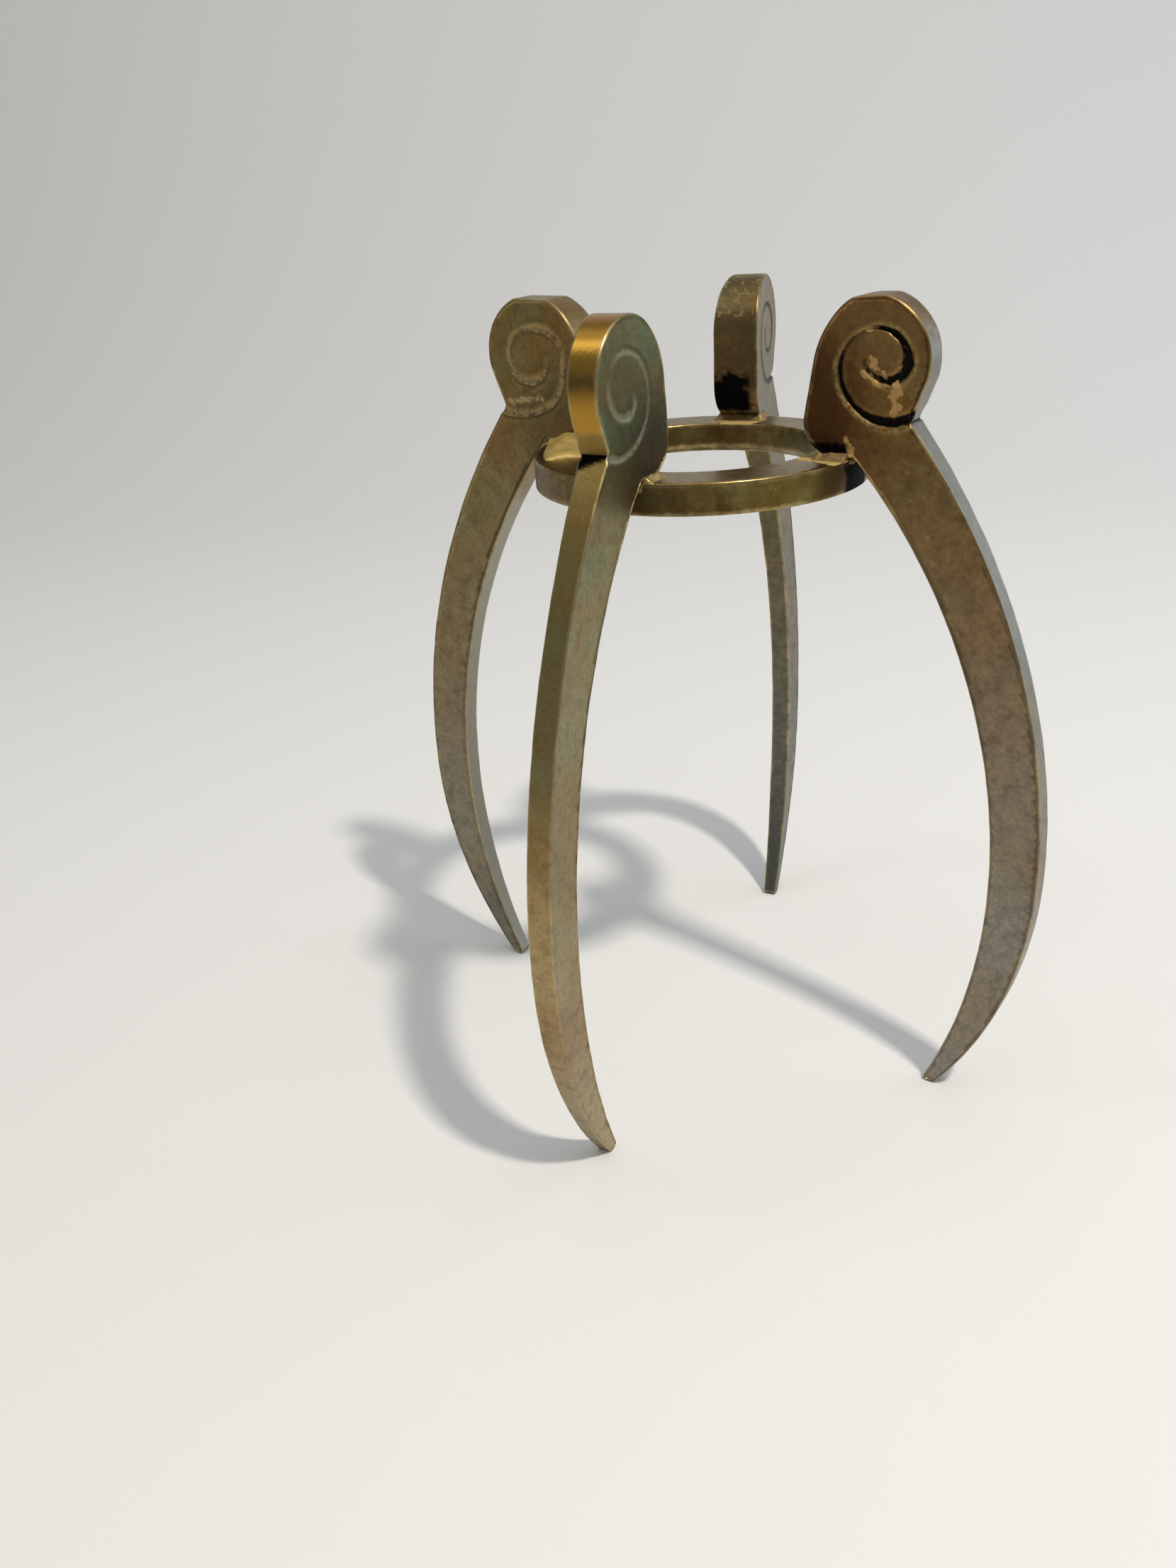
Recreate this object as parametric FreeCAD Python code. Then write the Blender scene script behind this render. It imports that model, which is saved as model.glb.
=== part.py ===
"""Four-legged brass stand: a flat ring carried by four scroll-headed legs.

Frame: millimetres, +Z up, origin on the floor under the middle of the ring.
A leg is drawn in its own radial plane (x = distance from the ring's axis, z = height),
with y across its thickness, and is then turned to its place round the ring.
"""
import FreeCAD, Part
import math
import os

# Ring
RING_OUTER_RADIUS = 30.0
RING_WIDTH = 8.8            # from the bore to the outer wall
RING_HEIGHT = 5.4
RING_TOP = 121.7            # height of the ring's top face above the floor
RING_EDGE_BREAK = 0.35      # small bevel on the three sharp edges
RING_LOWER_BEVEL = 1.1      # larger bevel at the foot of the bore

# Angle of each leg round the ring, in degrees: set by eye, so not quite square
LEG_ANGLES = {"front": 0.5, "right": 84.5, "back": 186.5, "left": 268.5}

# Leg, side view: the scroll head
CHIN_INSET = 8.0            # from the ring's outer wall in to the head's inner face
CHIN_RADIUS = 6.0           # rounding where the head turns in to its seat
HEAD_RADIUS = 10.4
HEAD_RISE = 15.3            # height of the head's centre above the seat
FACET_ANGLE = -15.0         # where the round gives way to a filed flat, in degrees
NECK_ANGLE = -51.5          # direction of the neck notch from the head's centre
NECK_GAP = 1.5              # distance of the notch outside the head's round

# Leg, side view: the bowed blade
OUTER_REACH = 67.1          # greatest distance of the outer edge from the axis
OUTER_REACH_HEIGHT = 50.0
BLADE_WIDTH = 8.7           # from edge to edge at that height
TOE_REACH = 51.1            # distance of the outer edge from the axis at the floor
TOE_WIDTH = 2.7             # from edge to edge at the floor
TOE_RADIUS = 0.9            # rounding of the two corners of the foot
SEAT_OVERHANG = 0.6         # the seat runs this far past the ring's outer wall

# Leg, thickness
CHIN_PLATE = 8.7            # thickness at the inner face of the head
WAIST_PLATE = 4.3           # least thickness, where the hollow faces come closest
WAIST_INSET = 10.1          # from the greatest reach in to that waist
TOE_PLATE = 3.0             # thickness at the floor
TOE_TAPER_HEIGHT = 27.0     # height where the foot's taper reaches the waist thickness

# Volute cut in both faces of the head: quarter turns, each with its own radius
GROOVE_WIDTH = 1.5
GROOVE_DEPTH = 0.8
VOLUTE_EDGE_WIDTH = 5.2     # from the head's inner face to the outermost turn
VOLUTE_DROP_HEIGHT = 1.2    # the first turn's centre lies this far below the head's centre
VOLUTE_LEAD_ANGLE = 32.0    # extra turn of the first arc, out through the neck notch
VOLUTE_SWEEP_RADIUS = 8.7
VOLUTE_SECOND_RADIUS = 6.1
VOLUTE_THIRD_RADIUS = 5.2
VOLUTE_FOURTH_RADIUS = 3.7
VOLUTE_EYE_RADIUS = 3.2

# Solder that joins each leg to the ring
SOLDER_GAP = 0.3            # film between the seat and the ring
SOLDER_BEAD = 1.3           # width of the fillet round the seat
SOLDER_RISE = 1.2           # height of that fillet
SOLDER_DROP = 2.0           # reach of the fillet down the outside of the ring

RING_BORE_RADIUS = RING_OUTER_RADIUS - RING_WIDTH
SEAT = RING_TOP + SOLDER_GAP
CHIN_REACH = RING_OUTER_RADIUS - CHIN_INSET
HEAD_REACH = CHIN_REACH + HEAD_RADIUS
HEAD_CENTRE = SEAT + HEAD_RISE
HEAD_TOP = HEAD_CENTRE + HEAD_RADIUS
WAIST_REACH = OUTER_REACH - WAIST_INSET
UP = FreeCAD.Vector(0, 0, 1)
ORIGIN = FreeCAD.Vector(0, 0, 0)


def in_plane(x, z):
    return FreeCAD.Vector(x, 0, z)


def line(start, end):
    return Part.LineSegment(start, end).toShape()


def arc(start, middle, end):
    return Part.Arc(start, middle, end).toShape()


def prism(corners, sweep):
    return Part.Face(Part.makePolygon(corners + corners[:1])).extrude(sweep)


def bow(start, crown):
    """Arc from a point to the crown of a bow, where it runs upright."""
    rise = crown.z - start.z
    depth = crown.x - start.x
    radius = (rise ** 2 + depth ** 2) / (2 * depth)
    half_turn = math.atan2(rise, radius - depth) / 2
    middle = crown + radius * in_plane(math.cos(half_turn) - 1, -math.sin(half_turn))
    return arc(start, middle, crown)


def half_plate(x):
    """Half the leg's thickness at distance x: both faces are hollowed to one radius."""
    span = WAIST_REACH - CHIN_REACH
    swell = (CHIN_PLATE - WAIST_PLATE) / 2
    radius = (span ** 2 + swell ** 2) / (2 * swell)
    return WAIST_PLATE / 2 + radius - math.sqrt(radius ** 2 - (x - WAIST_REACH) ** 2)


def spoke(bearing):
    """Unit step in a leg's plane, at a bearing in degrees."""
    return in_plane(math.cos(math.radians(bearing)), math.sin(math.radians(bearing)))


def from_head(bearing, distance):
    return in_plane(HEAD_REACH, HEAD_CENTRE) + distance * spoke(bearing)


def side_view():
    """Outline of a leg: seat, chin, scroll head, neck notch, bowed blade and foot."""
    chin_foot = in_plane(CHIN_REACH + CHIN_RADIUS, SEAT)
    chin_inset = CHIN_RADIUS * (1 - math.sqrt(0.5))
    chin_middle = in_plane(CHIN_REACH + chin_inset, SEAT + chin_inset)
    chin_top = in_plane(CHIN_REACH, SEAT + CHIN_RADIUS)
    head_side = from_head(180, HEAD_RADIUS)
    head_crown = from_head(90 + FACET_ANGLE / 2, HEAD_RADIUS)
    facet = from_head(FACET_ANGLE, HEAD_RADIUS)
    neck = from_head(NECK_ANGLE, HEAD_RADIUS + NECK_GAP)
    outer = in_plane(OUTER_REACH, OUTER_REACH_HEIGHT)
    toe = in_plane(TOE_REACH, 0)
    heel = in_plane(TOE_REACH - TOE_WIDTH, 0)
    inner = in_plane(OUTER_REACH - BLADE_WIDTH, OUTER_REACH_HEIGHT)
    seat_end = in_plane(RING_OUTER_RADIUS + SEAT_OVERHANG, SEAT)
    edges = [
        line(seat_end, chin_foot),
        arc(chin_foot, chin_middle, chin_top),
        line(chin_top, head_side),
        arc(head_side, head_crown, facet),
        line(facet, neck),
        bow(neck, outer),
        bow(toe, outer),
        line(toe, heel),
        arc(heel, inner, seat_end),
    ]
    return Part.Face(Part.Wire(edges))


def plan_view():
    """Outline of a leg from above: thick at the chin, hollowed to a waist."""
    ends = (CHIN_REACH - CHIN_PLATE, WAIST_REACH, OUTER_REACH + WAIST_PLATE)
    corners = [FreeCAD.Vector(x, half_plate(x), 0) for x in ends]
    mirrored = [FreeCAD.Vector(corner.x, -corner.y, 0) for corner in corners]
    edges = [
        arc(*corners),
        line(corners[2], mirrored[2]),
        arc(*reversed(mirrored)),
        line(mirrored[0], corners[0]),
    ]
    return Part.Face(Part.Wire(edges))


def end_view():
    """Outline of a leg seen along the radius: a taper that thins the foot."""
    toe = TOE_PLATE / 2
    slope = (WAIST_PLATE / 2 - toe) / TOE_TAPER_HEIGHT
    top = toe + slope * HEAD_TOP
    corners = [(-toe, 0), (toe, 0), (top, HEAD_TOP), (-top, HEAD_TOP)]
    return Part.Face(Part.makePolygon([FreeCAD.Vector(0, y, z) for y, z in corners + corners[:1]]))


def volute_cutters(face):
    """Graver cuts of the volute, one for each arc, on one broad face (+1 or -1) of the head.

    The arcs run from outside the neck notch in to the eye, each tangent to the last.
    """
    left = CHIN_REACH + VOLUTE_EDGE_WIDTH
    middle = left + VOLUTE_SECOND_RADIUS
    right = middle + VOLUTE_SECOND_RADIUS
    lean = face * math.degrees(math.atan2(half_plate(right) - half_plate(left), right - left))
    lift = FreeCAD.Vector(0, face * half_plate(middle), 0)
    depth = FreeCAD.Vector(0, face * GROOVE_DEPTH, 0)
    bearing = VOLUTE_LEAD_ANGLE - 90
    centre = in_plane(left + VOLUTE_SWEEP_RADIUS, HEAD_CENTRE - VOLUTE_DROP_HEIGHT)
    point = centre + VOLUTE_SWEEP_RADIUS * spoke(bearing)
    turns = [
        (VOLUTE_SWEEP_RADIUS, 90 + VOLUTE_LEAD_ANGLE),
        (VOLUTE_SECOND_RADIUS, 90),
        (VOLUTE_THIRD_RADIUS, 90),
        (VOLUTE_FOURTH_RADIUS, 90),
        (VOLUTE_EYE_RADIUS, 90),
    ]
    cutters = []
    for radius, angle in turns:
        centre = point - radius * spoke(bearing)
        side = GROOVE_WIDTH * spoke(bearing)
        nose = Part.makePolygon([point - depth, point + depth + side, point + depth - side, point - depth])
        cutter = Part.Face(nose).revolve(centre, FreeCAD.Vector(0, 1, 0), angle)
        cutter.translate(lift)
        cutter.rotate(in_plane(middle, 0) + lift, UP, lean)
        cutters.append(cutter)
        bearing -= angle
        point = centre + radius * spoke(bearing)
    return cutters


def make_blank():
    """Leg as sawn and filed to its three outlines."""
    width = 4 * CHIN_PLATE
    blade = side_view().extrude(FreeCAD.Vector(0, width, 0))
    blade.translate(FreeCAD.Vector(0, -width / 2, 0))
    toes = [edge for edge in blade.Edges if abs(edge.BoundBox.ZMax) < 1e-6 and edge.Length > TOE_WIDTH * 2]
    blade = blade.makeFillet(TOE_RADIUS, toes)
    blank = blade.common(plan_view().extrude(UP * HEAD_TOP * 2))
    blank = blank.common(end_view().extrude(FreeCAD.Vector(OUTER_REACH * 2, 0, 0)))
    return blank.removeSplitter()


def make_leg(blank):
    """Finished leg, with the volute cut in both faces of the head."""
    return blank.cut(volute_cutters(1) + volute_cutters(-1)).Solids[0]


def make_ring():
    """Turned ring, as four quarters joined, so that its round walls mesh evenly."""
    lower = RING_TOP - RING_HEIGHT
    section = [
        (RING_BORE_RADIUS + RING_EDGE_BREAK, RING_TOP),
        (RING_OUTER_RADIUS - RING_EDGE_BREAK, RING_TOP),
        (RING_OUTER_RADIUS, RING_TOP - RING_EDGE_BREAK),
        (RING_OUTER_RADIUS, lower + RING_EDGE_BREAK),
        (RING_OUTER_RADIUS - RING_EDGE_BREAK, lower),
        (RING_BORE_RADIUS + RING_LOWER_BEVEL, lower),
        (RING_BORE_RADIUS, lower + RING_LOWER_BEVEL),
        (RING_BORE_RADIUS, RING_TOP - RING_EDGE_BREAK),
    ]
    corners = [in_plane(x, z) for x, z in section + section[:1]]
    quarters = []
    for start in (0, 90, 180, 270):
        quarter = Part.Face(Part.makePolygon(corners)).revolve(ORIGIN, UP, 90)
        quarter.rotate(ORIGIN, UP, start)
        quarters.append(quarter)
    return quarters[0].fuse(quarters[1:]).Solids[0]


def make_solder(blank, ring):
    """Fillet round the seat of a leg: on the ring's top, and under the seat's overhang."""
    inner = CHIN_REACH + CHIN_RADIUS / 2
    outer = RING_OUTER_RADIUS - RING_EDGE_BREAK
    half = half_plate((inner + outer) / 2)
    top = RING_TOP + 2 * SOLDER_RISE
    ends = [(half + SOLDER_BEAD, RING_TOP), (half - SOLDER_BEAD, top)]
    ends += [(-y, z) for y, z in reversed(ends)]
    sides = [(inner - SOLDER_BEAD, RING_TOP), (outer, RING_TOP), (outer, top), (inner + SOLDER_BEAD, top)]
    bead = prism([FreeCAD.Vector(0, y, z) for y, z in ends], FreeCAD.Vector(RING_OUTER_RADIUS, 0, 0))
    flank = prism([FreeCAD.Vector(x, -CHIN_PLATE, z) for x, z in sides], FreeCAD.Vector(0, 2 * CHIN_PLATE, 0))
    bead = bead.common(flank).common(Part.makeCylinder(outer, HEAD_TOP))
    under_leg = RING_OUTER_RADIUS + 2 * SOLDER_DROP
    overhang = [
        in_plane(CHIN_REACH + CHIN_RADIUS, SEAT),
        in_plane(CHIN_REACH + CHIN_RADIUS, RING_TOP - SOLDER_DROP),
        in_plane(RING_OUTER_RADIUS, RING_TOP - SOLDER_DROP),
        in_plane(under_leg, RING_TOP),
        in_plane(under_leg, SEAT),
    ]
    web = half_plate(under_leg) - SOLDER_GAP
    under = prism([corner - FreeCAD.Vector(0, web, 0) for corner in overhang], FreeCAD.Vector(0, 2 * web, 0))
    return bead.fuse(under).cut([blank, ring]).removeSplitter()


def main():
    os.makedirs("parts", exist_ok=True)
    ring = make_ring()
    blank = make_blank()
    leg = make_leg(blank)
    solder = make_solder(blank, ring)
    ring.exportStep("parts/ring.step")
    for place, angle in LEG_ANGLES.items():
        for name, shape in (("leg", leg), ("solder", solder)):
            piece = shape.copy()
            piece.rotate(ORIGIN, UP, angle)
            piece.exportStep(f"parts/{name}_{place}.step")


main()
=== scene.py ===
"""Looks of a four-legged brass stand: a flat ring carried by four scroll-headed legs.

Sizes are in millimetres, and a piece is scaled to metres when its mesh is made. A leg is drawn in its own
radial plane (x = distance from the ring's axis, z = height) with y across its thickness.
"""
import cmath
import math
import bpy
import numpy as np
from mathutils import Matrix, Vector, kdtree, noise
from mathutils.geometry import delaunay_2d_cdt


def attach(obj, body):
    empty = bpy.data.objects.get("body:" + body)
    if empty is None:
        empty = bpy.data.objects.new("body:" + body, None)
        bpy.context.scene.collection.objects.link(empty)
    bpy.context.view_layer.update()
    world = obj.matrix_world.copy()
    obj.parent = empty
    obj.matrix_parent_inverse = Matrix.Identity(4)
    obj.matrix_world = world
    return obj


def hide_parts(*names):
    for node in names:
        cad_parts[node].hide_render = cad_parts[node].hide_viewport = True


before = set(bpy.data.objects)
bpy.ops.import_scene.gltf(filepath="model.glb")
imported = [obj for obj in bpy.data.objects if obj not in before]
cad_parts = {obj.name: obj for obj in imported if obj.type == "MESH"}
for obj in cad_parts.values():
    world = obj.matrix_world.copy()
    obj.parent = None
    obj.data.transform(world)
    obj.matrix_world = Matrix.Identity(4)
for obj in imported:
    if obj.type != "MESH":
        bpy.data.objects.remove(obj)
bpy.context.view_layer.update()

MM = 0.001

# Ring
RING_OUTER_RADIUS = 30.0
RING_BORE_RADIUS = 21.2
RING_MIDDLE_RADIUS = 26.0
RING_TOP = 121.7
RING_HEIGHT = 5.4
RING_LOWER_BEVEL = 1.1
RING_EDGE_ROUND = 0.4       # worn rounding of the top outer edge
RING_RIM_ROUND = 0.35       # of the bore's top edge and the lower outer edge
RING_BEVEL_ROUND = 0.5      # and of both edges of the bevel
RING_UNEVEN = 0.03          # how far the turned faces are from true
RING_HUMP = 9.0
RING_STEPS = 300            # mesh rows round the ring
RING_SEED = 6
LEG_ANGLES = {"front": 0.5, "right": 84.5, "back": 186.5, "left": 268.5}

# Leg, side view
SEAT = RING_TOP + 0.3
CHIN_REACH = RING_OUTER_RADIUS - 8.0
CHIN_RADIUS = 6.0
HEAD_RADIUS = 10.4
HEAD_CENTRE = (CHIN_REACH + HEAD_RADIUS, SEAT + 15.3)
FACET_ANGLE = -15.0
NECK = (39.8, 128.0)
OUTER_CROWN = (67.1, 50.0)
INNER_CROWN = (58.4, 50.0)
TOE = (51.1, 0.0)
HEEL = (48.4, 0.0)
TOE_RADIUS = 0.9
SEAT_END = (RING_OUTER_RADIUS + 0.6, SEAT)
# Filed flats on two heads' tops, as bearings from the head's centre
HEAD_FLATS = {"right": (74, 106), "left": (71, 113)}
# How far the inner sides of two heads are filed back, per mm of height
HEAD_LEANS = {"front": 0.08, "right": 0.16}

# Leg, thickness and wear
CHIN_PLATE = 8.7
WAIST_PLATE = 4.3
WAIST_REACH = 57.0
TOE_PLATE = 3.0
TOE_TAPER_HEIGHT = 27.0
EDGE_ROUND = 0.27           # worn rounding of the long edges
EDGE_UNEVEN = 0.4           # share by which that rounding varies
EDGE_HUMP = 2.5
OUTLINE_UNEVEN = 0.04       # how far the narrow faces are from true
OUTLINE_HUMP = 5.0
FACE_UNEVEN = 0.05          # and the broad faces
FACE_HUMP = 7.0
NARROW_RUB = 0.3            # how far rubbing reaches from an edge over a narrow face
BROAD_RUB = 0.45            # and over a broad face

# Spacing of mesh points
SEAT_STEP = 0.6
HEAD_STEP = 0.5
NOTCH_STEP = 0.35
SHOULDER_STEP = 0.45
BLADE_STEP = 0.8
FOOT_STEP = 0.3
TOE_STEP = 0.22
EDGE_STEPS = 3
NARROW_STEPS = 10
HEAD_PITCH = 0.45           # over a broad face on the head
BLADE_PITCH = 1.1           # and down the blade
ROW_OFFSETS = (0, 0.2, 0.42, 0.68, 1.0, 1.4)       # rows beside the middle of the engraved cut
ROW_SKIP = 3                # points of the volute from one row to the next
POINT_GAP = 0.25            # least room between those rows, the rim and the other points

# Volute, cut by hand and so a little different on each head: place of the first turn's outermost point and
# level of its centre from the head's centre, extra turn out through the neck notch, then radius and degrees
# of each turn
VOLUTES = {
    "front": (-5.0, -1.6, 30, [(8.8, 90), (6.8, 90), (4.9, 90), (4.9, 90), (2.9, 70)]),
    "right": (-4.4, -0.9, 32, [(8.4, 90), (6.0, 90), (5.0, 90), (3.0, 90), (4.6, 65)]),
    "back": (-5.2, -1.2, 32, [(8.7, 90), (6.1, 90), (5.2, 90), (3.7, 90), (3.2, 90)]),
    "left": (-11.4, 4.75, 18, [(15.5, 28), (6.0, 44), (16.0, 18), (5.0, 75), (10.0, 33), (4.55, 230)]),
}
VOLUTE_STEP = 0.1
# Half width and strength of the cut along each volute, from the notch (0) in to the eye (1)
CUTS = {
    "front": [(0, 0.75, 0.9), (0.28, 0.5, 0.6), (0.4, 0.45, 0.2), (0.6, 0.55, 0.5), (0.72, 0.45, 0.1),
              (0.86, 0.6, 0.7), (0.94, 0.85, 0.9), (1, 0.6, 0.5)],
    "right": [(0, 1.0, 1), (0.15, 0.9, 1), (0.23, 0.42, 1), (0.4, 0.42, 0.9), (0.46, 0.3, 0.3),
              (0.56, 0.3, 0.2), (0.64, 0.42, 0.9), (0.71, 0.6, 1), (0.79, 1.05, 1), (0.87, 0.9, 1),
              (0.93, 0.45, 0.7), (1, 0.3, 0.4)],
    "back": [(0, 0.55, 1), (0.5, 0.5, 0.8), (1, 0.45, 0.9)],
    "left": [(0, 0.75, 1), (0.3, 0.65, 1), (0.55, 0.7, 0.9), (0.66, 0.6, 0.3), (0.74, 0.6, 0.4),
             (0.82, 0.75, 1), (0.92, 0.8, 1), (1, 0.6, 0.2)],
}
CUT_DEPTH = {"front": 0.35, "right": 0.85, "back": 0.5, "left": 0.4}
CUT_HUMP = 0.9              # length of the cut's unevenness
CUT_WIDTH_UNEVEN = 0.2
CUT_STRENGTH_UNEVEN = 0.15
BURR_HEIGHT = 0.08
BURR_OFFSET = 0.35          # from the edge of the cut to the top of its burr
BURR_WIDTH = 0.32
BURR_INSIDE = 0.3           # share of the burr on the cut's inner side

# Marks of handling and soldering
SEAT_HALF = 3.6             # half a leg's thickness where it meets the ring
FLUSH_CENTRE = (26.0, 125.0)
# Painted reflection bands, and painted shade bands between them, round the front head's outer edge, by
# bearing from the head's centre
FRONT_REFLECTION_BANDS = [(-52, 0.3), (-36, 0.35), (-32, 0.8), (-9, 0.8), (-6, 0.75), (3, 0.7), (7, 0.25), (15, 0.3),
               (20, 0.75), (60, 0.95), (80, 0.9), (105, 0.0)]
FRONT_SHADE_BANDS = [(-52, 0.8), (-36, 0.5), (-32, 0.35), (3, 0.35), (7, 0.8), (14, 0.7), (20, 0.0)]
# centre of a painted shade spot in the crease where the front chin meets the ring
FRONT_CREASE_SHADE = (24.0, 122.9)
# Flux left on the right head: two ends and half width of each flake
FLAKES = [
    ((37.5, 133.4), (37.2, 131.2), 1.0),
    ((37.0, 131.6), (37.3, 129.4), 0.6),
    ((31.6, 136.0), (34.6, 133.5), 0.4),
    ((32.9, 137.9), (35.5, 135.1), 0.5),
    ((31.4, 142.3), (32.7, 142.3), 0.4),
]
RIGHT_DRIP = ((29.4, 125.4), (30.7, 121.5))
# centre of the heat tint on the right head, deepened there by painted shade
RIGHT_HEAT_AND_SHADE_CENTRE = (23.5, 129.0)
LEFT_SMEAR = ((38.4, 128.8), (31.0, 129.6))
FILM_REACH = {"front": 1.0, "right": 4.5, "back": 2.5, "left": 3.0}    # of flux film along the ring's top
FILM_FADE = 3.0

# Solder: width and rise of the bead on the ring, and how far the web hangs under the overhang
SOLDER_BEADS = {
    "front": (1.2, 0.9, 2.0),
    "right": (1.5, 1.2, 0.9),
    "back": (1.3, 1.2, 2.0),
    "left": (2.0, 0.7, 2.0),
}
SOLDER_STEP = 0.2           # spacing of the bead's mesh
SOLDER_SIDE = 7.0           # how far that mesh reaches to each side
SOLDER_NOSE = 2.6           # and in front of the chin
SOLDER_INSET = 0.35         # of the bead from the ring's outer edge
SOLDER_SUNK = 0.25          # how far its underside lies in the ring
SOLDER_FEATHER = 0.1        # how far its thin edge dips into the ring
SOLDER_LEAST = 0.05         # its least rise inside that edge
SOLDER_HOLLOW = 1.4         # how hollow the bead is, as a power of the way up it
WEB_ROWS = 13
WEB_INSET = 0.3             # of the web from the leg's broad faces
WEB_HEAD = 0.2              # from its top to the leg's seat
WEB_ROOT = 0.3              # how far it reaches into the ring
# Underside of the web: distance out from the ring, and share of how far it hangs
WEB_PROFILE = [(-WEB_ROOT, 1.0), (0.0, 1.0), (0.35, 0.6), (1.1, 0.42), (2.4, 0.45)]
SOLDER_RUN = 14.0           # at the left leg solder also ran along the ring towards the front leg
SOLDER_RUN_RISE = 2.1
SOLDER_RUN_RIM = 24.9       # radius of its middle
SOLDER_RUN_HALF = 3.4       # half its width
SOLDER_RUN_SUNK = 0.05      # how far its edge dips into the ring
SOLDER_RUN_ROWS = 60
SOLDER_RUN_COLUMNS = 28

# Sizes of the brass finish's patterns; the real grain is about 0.1 mm and is drawn coarser so that it shows
CLOUD_SIZE = 26
PATCH_SIZE = 11
SCUFF_SIZE = 5
MOTTLE_SIZE = 2.4
GRAIN_SIZE = 0.8
BLADE_STROKE = (0.5, 0.5, 7)        # file strokes run down the legs
TURNED_STROKE = (4, 4, 0.5)         # and tool marks run round the ring

# Stage, in metres
FLOOR_BEARING = 24.5        # degrees, from the stand to the side that the floor is open to
FLOOR_FRONT = 1.4
FLOOR_BACK = 0.45
FLOOR_HALF_WIDTH = 1.8
SWEEP_RADIUS = 0.5
SWEEP_STEPS = 16
BACKDROP_HEIGHT = 1.6
LAMP_AIM = 0.07             # height that the lamps are aimed at
ROOM_LIGHT = 0.42           # strength of the light from all round

# Camera: place in millimetres, turns in radians, focal length in millimetres
CAMERA_PLACE = (210.24, 95.89, 166.72)
CAMERA_YAW = math.pi + 0.5326
CAMERA_PITCH = 0.4494
CAMERA_ROLL = 0.0656
CAMERA_FOCAL = 28.984
CAMERA_CLIP = 0.01          # metres


def line(start, end, step):
    """Points along a straight run, without its last."""
    start, end = complex(*start), complex(*end)
    count = max(1, round(abs(end - start) / step))
    return [start + (end - start) * i / count for i in range(count)]


def arc(start, middle, end, step):
    """Points along the arc through three points, without its last."""
    start, middle, end = complex(*start), complex(*middle), complex(*end)
    w = (end - start) / (middle - start)
    centre = start + (middle - start) * (w - abs(w) ** 2) / (2j * w.imag)
    turn = cmath.phase((end - centre) / (start - centre))
    via = cmath.phase((middle - centre) / (start - centre))
    if turn * via < 0 or abs(turn) < abs(via):
        turn -= math.copysign(2 * math.pi, turn)
    count = max(2, round(abs(turn) * abs(start - centre) / step))
    return [centre + (start - centre) * cmath.exp(1j * turn * i / count) for i in range(count)]


def bow(start, crown, step):
    """Points from one end of a bow to its crown, where it runs upright, without the last."""
    rise = crown[1] - start[1]
    depth = crown[0] - start[0]
    radius = (rise ** 2 + depth ** 2) / (2 * depth)
    half = math.atan2(rise, radius - depth) / 2
    middle = (crown[0] + radius * (math.cos(half) - 1), crown[1] - radius * math.sin(half))
    return arc(start, middle, crown, step)


def eased_corner(before, corner, after, radius, step):
    """Points that ease a corner to a radius, and how far they reach along its two sides."""
    before, after = before - corner, after - corner
    before, after = before / abs(before), after / abs(after)
    opening = abs(cmath.phase(after / before))
    reach = radius / math.tan(opening / 2)
    middle = corner + (before + after) / abs(before + after) * radius * (1 / math.sin(opening / 2) - 1)
    ends = [corner + before * reach, middle, corner + after * reach]
    return arc(*[(p.real, p.imag) for p in ends], step) + [ends[2]], reach


def from_head(bearing, distance):
    """Place at a bearing and distance from the head's centre."""
    turn = math.radians(bearing)
    return (HEAD_CENTRE[0] + distance * math.cos(turn), HEAD_CENTRE[1] + distance * math.sin(turn))


def rounded(points, corner, radius):
    """The closed run of points with one corner eased to a radius."""
    at = min(range(len(points)), key=lambda i: abs(points[i] - complex(*corner)))
    look, clear = 3, 0.1
    before, after = points[at - look], points[(at + look) % len(points)]
    eased, reach = eased_corner(before, points[at], after, radius, TOE_STEP)
    kept = [i for i in range(len(points)) if abs(points[i] - points[at]) > reach + clear]
    first = min((i for i in kept if i > at), default=0)
    return [points[i] for i in kept if i < at] + eased + [points[i] for i in kept if first and i >= first]


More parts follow.
